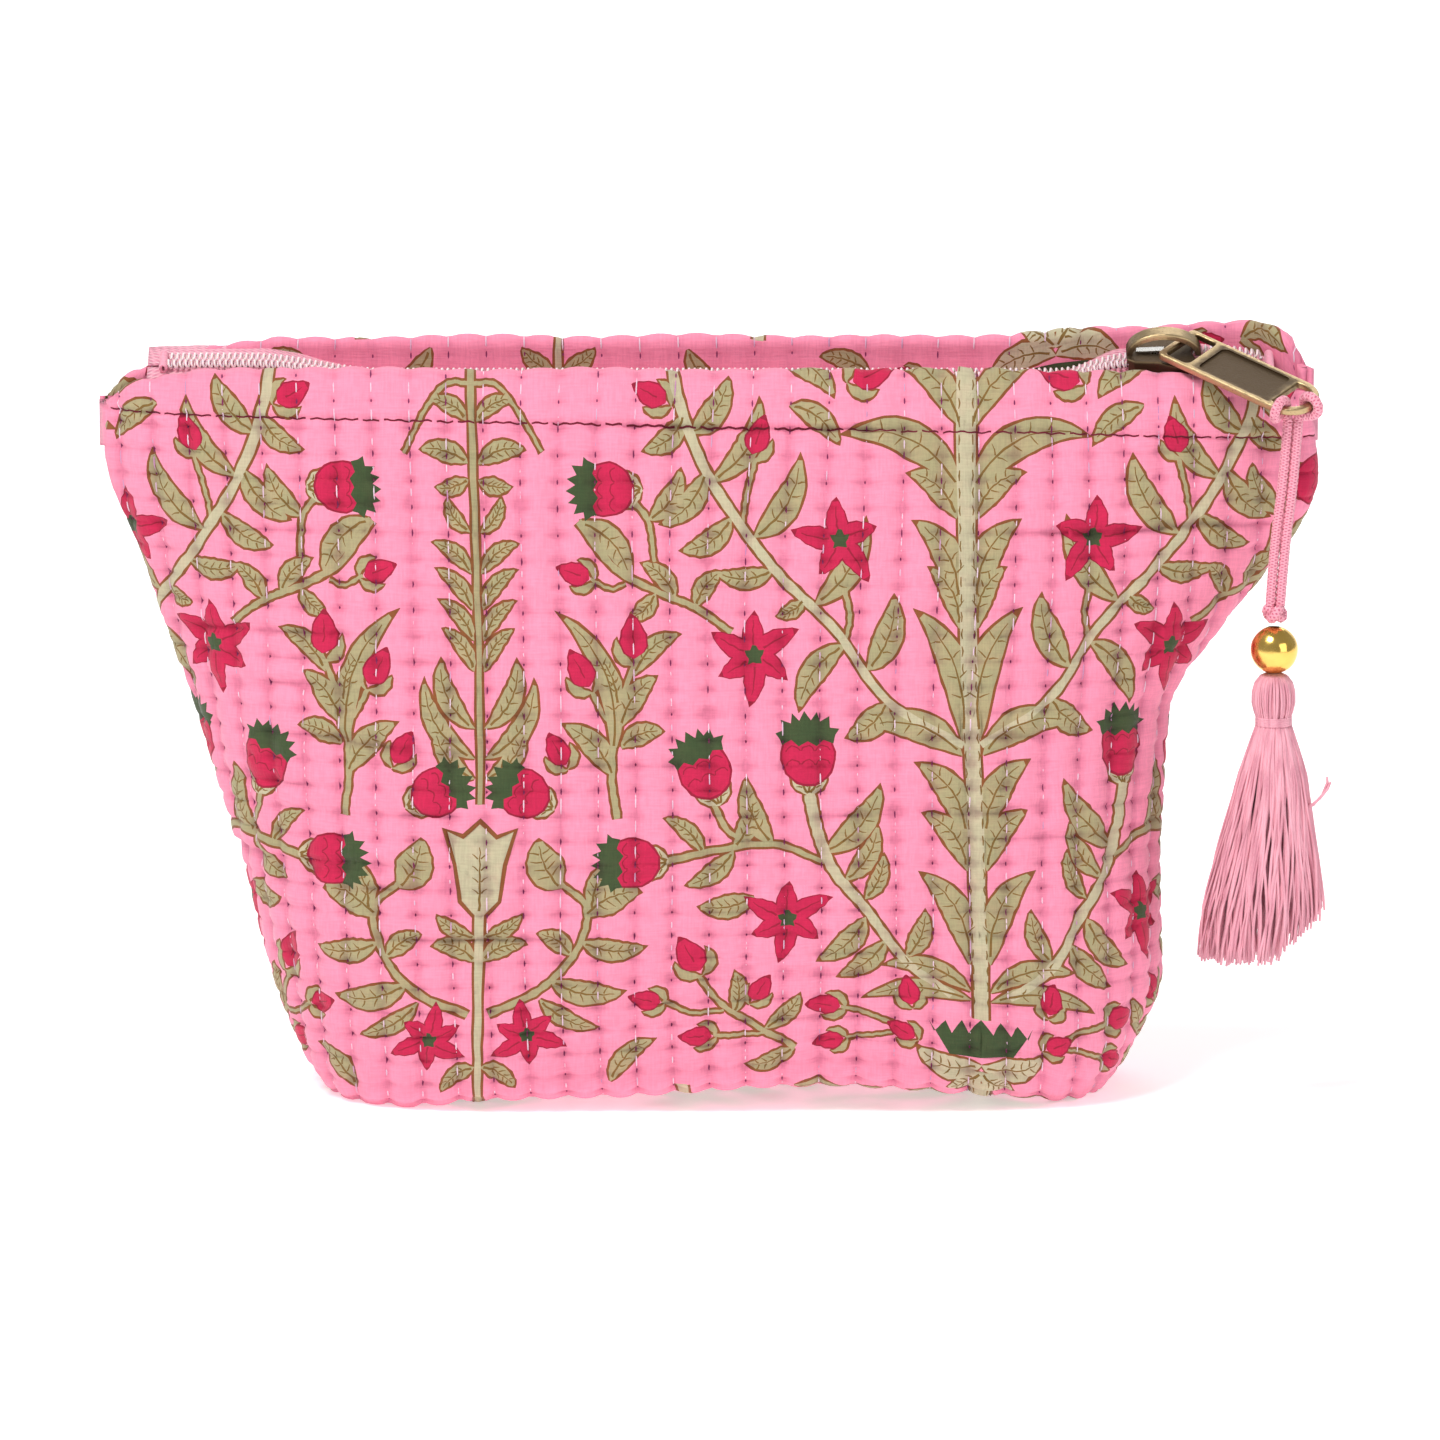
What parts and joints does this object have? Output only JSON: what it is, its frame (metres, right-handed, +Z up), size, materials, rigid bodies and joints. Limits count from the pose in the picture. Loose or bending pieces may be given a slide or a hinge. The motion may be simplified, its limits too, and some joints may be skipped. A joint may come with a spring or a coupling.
{
  "type": "quilted zip makeup bag",
  "caption": "Quilted block-print cotton makeup bag with a boxed base, a coil zip across the top and a beaded tassel hanging from the slider's pull tab.",
  "frame": {"origin": "on the table, under the middle of the bag's box, cord and tassel left out", "axes": "+X along the mouth towards the end where the zip closes, +Y to the back panel, +Z up"},
  "size_m": [0.2451, 0.076, 0.154],
  "materials": {
    "printed_cotton": "hand block-printed cotton, quilted",
    "wadding": "loose cotton wadding",
    "white_lining": "plain white cotton",
    "seam_tape": "cotton bias tape",
    "satin_label": "white satin ribbon",
    "zip_tape": "woven polyester tape",
    "zip_coil": "nylon coil",
    "tack_thread": "thread bar tack",
    "antique_brass": "antiqued, dark in the recesses, worn edges",
    "spring_steel": "bright spring steel",
    "braided_cord": "braided satin cord",
    "gold_metal": "gold plated",
    "tassel_yarn": "cotton yarn"
  },
  "bodies": {
    "bag": {"front_panel": "printed_cotton", "back_panel": "printed_cotton", "front_wadding": "wadding", "back_wadding": "wadding", "front_lining": "white_lining", "back_lining": "white_lining", "base_seam_binding": "seam_tape", "left_seam_binding": "seam_tape", "right_seam_binding": "seam_tape", "left_corner_binding": "seam_tape", "right_corner_binding": "seam_tape", "care_label": "satin_label", "zip_coil_front": "zip_coil", "zip_coil_back": "zip_coil", "zip_tape_front": "zip_tape", "zip_tape_back": "zip_tape", "zip_end_tack_left": "tack_thread", "zip_end_tack_right": "tack_thread"},
    "slider": {"slider_body": "antique_brass", "slider_crown": "antique_brass", "slider_lock_spring": "spring_steel"},
    "pull": {"pull_tab": "antique_brass", "cord_hitch": "braided_cord"},
    "cord": {"cord_strand_left": "braided_cord", "cord_strand_right": "braided_cord"},
    "tassel": {"cord_knot": "braided_cord", "gold_bead": "gold_metal", "tassel_head": "tassel_yarn", "tassel_neck_binding": "tassel_yarn", "tassel_skirt": "tassel_yarn"}
  },
  "joints": [
    {"name": "slider_slide", "type": "slide", "parent": "bag", "child": "slider", "axis": [-1, 0, 0], "range_m": [-0.0015, 0.188], "deforming": ["zip_coil_front", "zip_coil_back", "zip_tape_front", "zip_tape_back", "cord_strand_left", "cord_strand_right", "cord_knot", "gold_bead", "tassel_head", "tassel_neck_binding", "tassel_skirt"]},
    {"name": "tab_lift", "type": "hinge", "parent": "slider", "child": "pull", "pos_m": [0.093, -0.00382, 0.15033], "axis": [-0.6494, -0.6834, -0.3333], "range_deg": [0, 110]},
    {"name": "cord_hang", "type": "hinge", "parent": "pull", "child": "cord", "pos_m": [0.1152, -0.0227, 0.1375], "axis": [-0.6494, -0.6834, -0.3333], "range_deg": [-80, 2]},
    {"name": "tassel_drape", "type": "hinge", "parent": "cord", "child": "tassel", "pos_m": [0.1152, -0.0227, 0.1375], "axis": [-1, 0, 0], "range_deg": [-3, 17]}
  ],
  "couplings": [
    {"joint": "cord_hang", "follows": "tab_lift", "ratio": -0.7},
    {"joint": "tassel_drape", "follows": "slider_slide", "rad_per_m": 1.4}
  ]
}
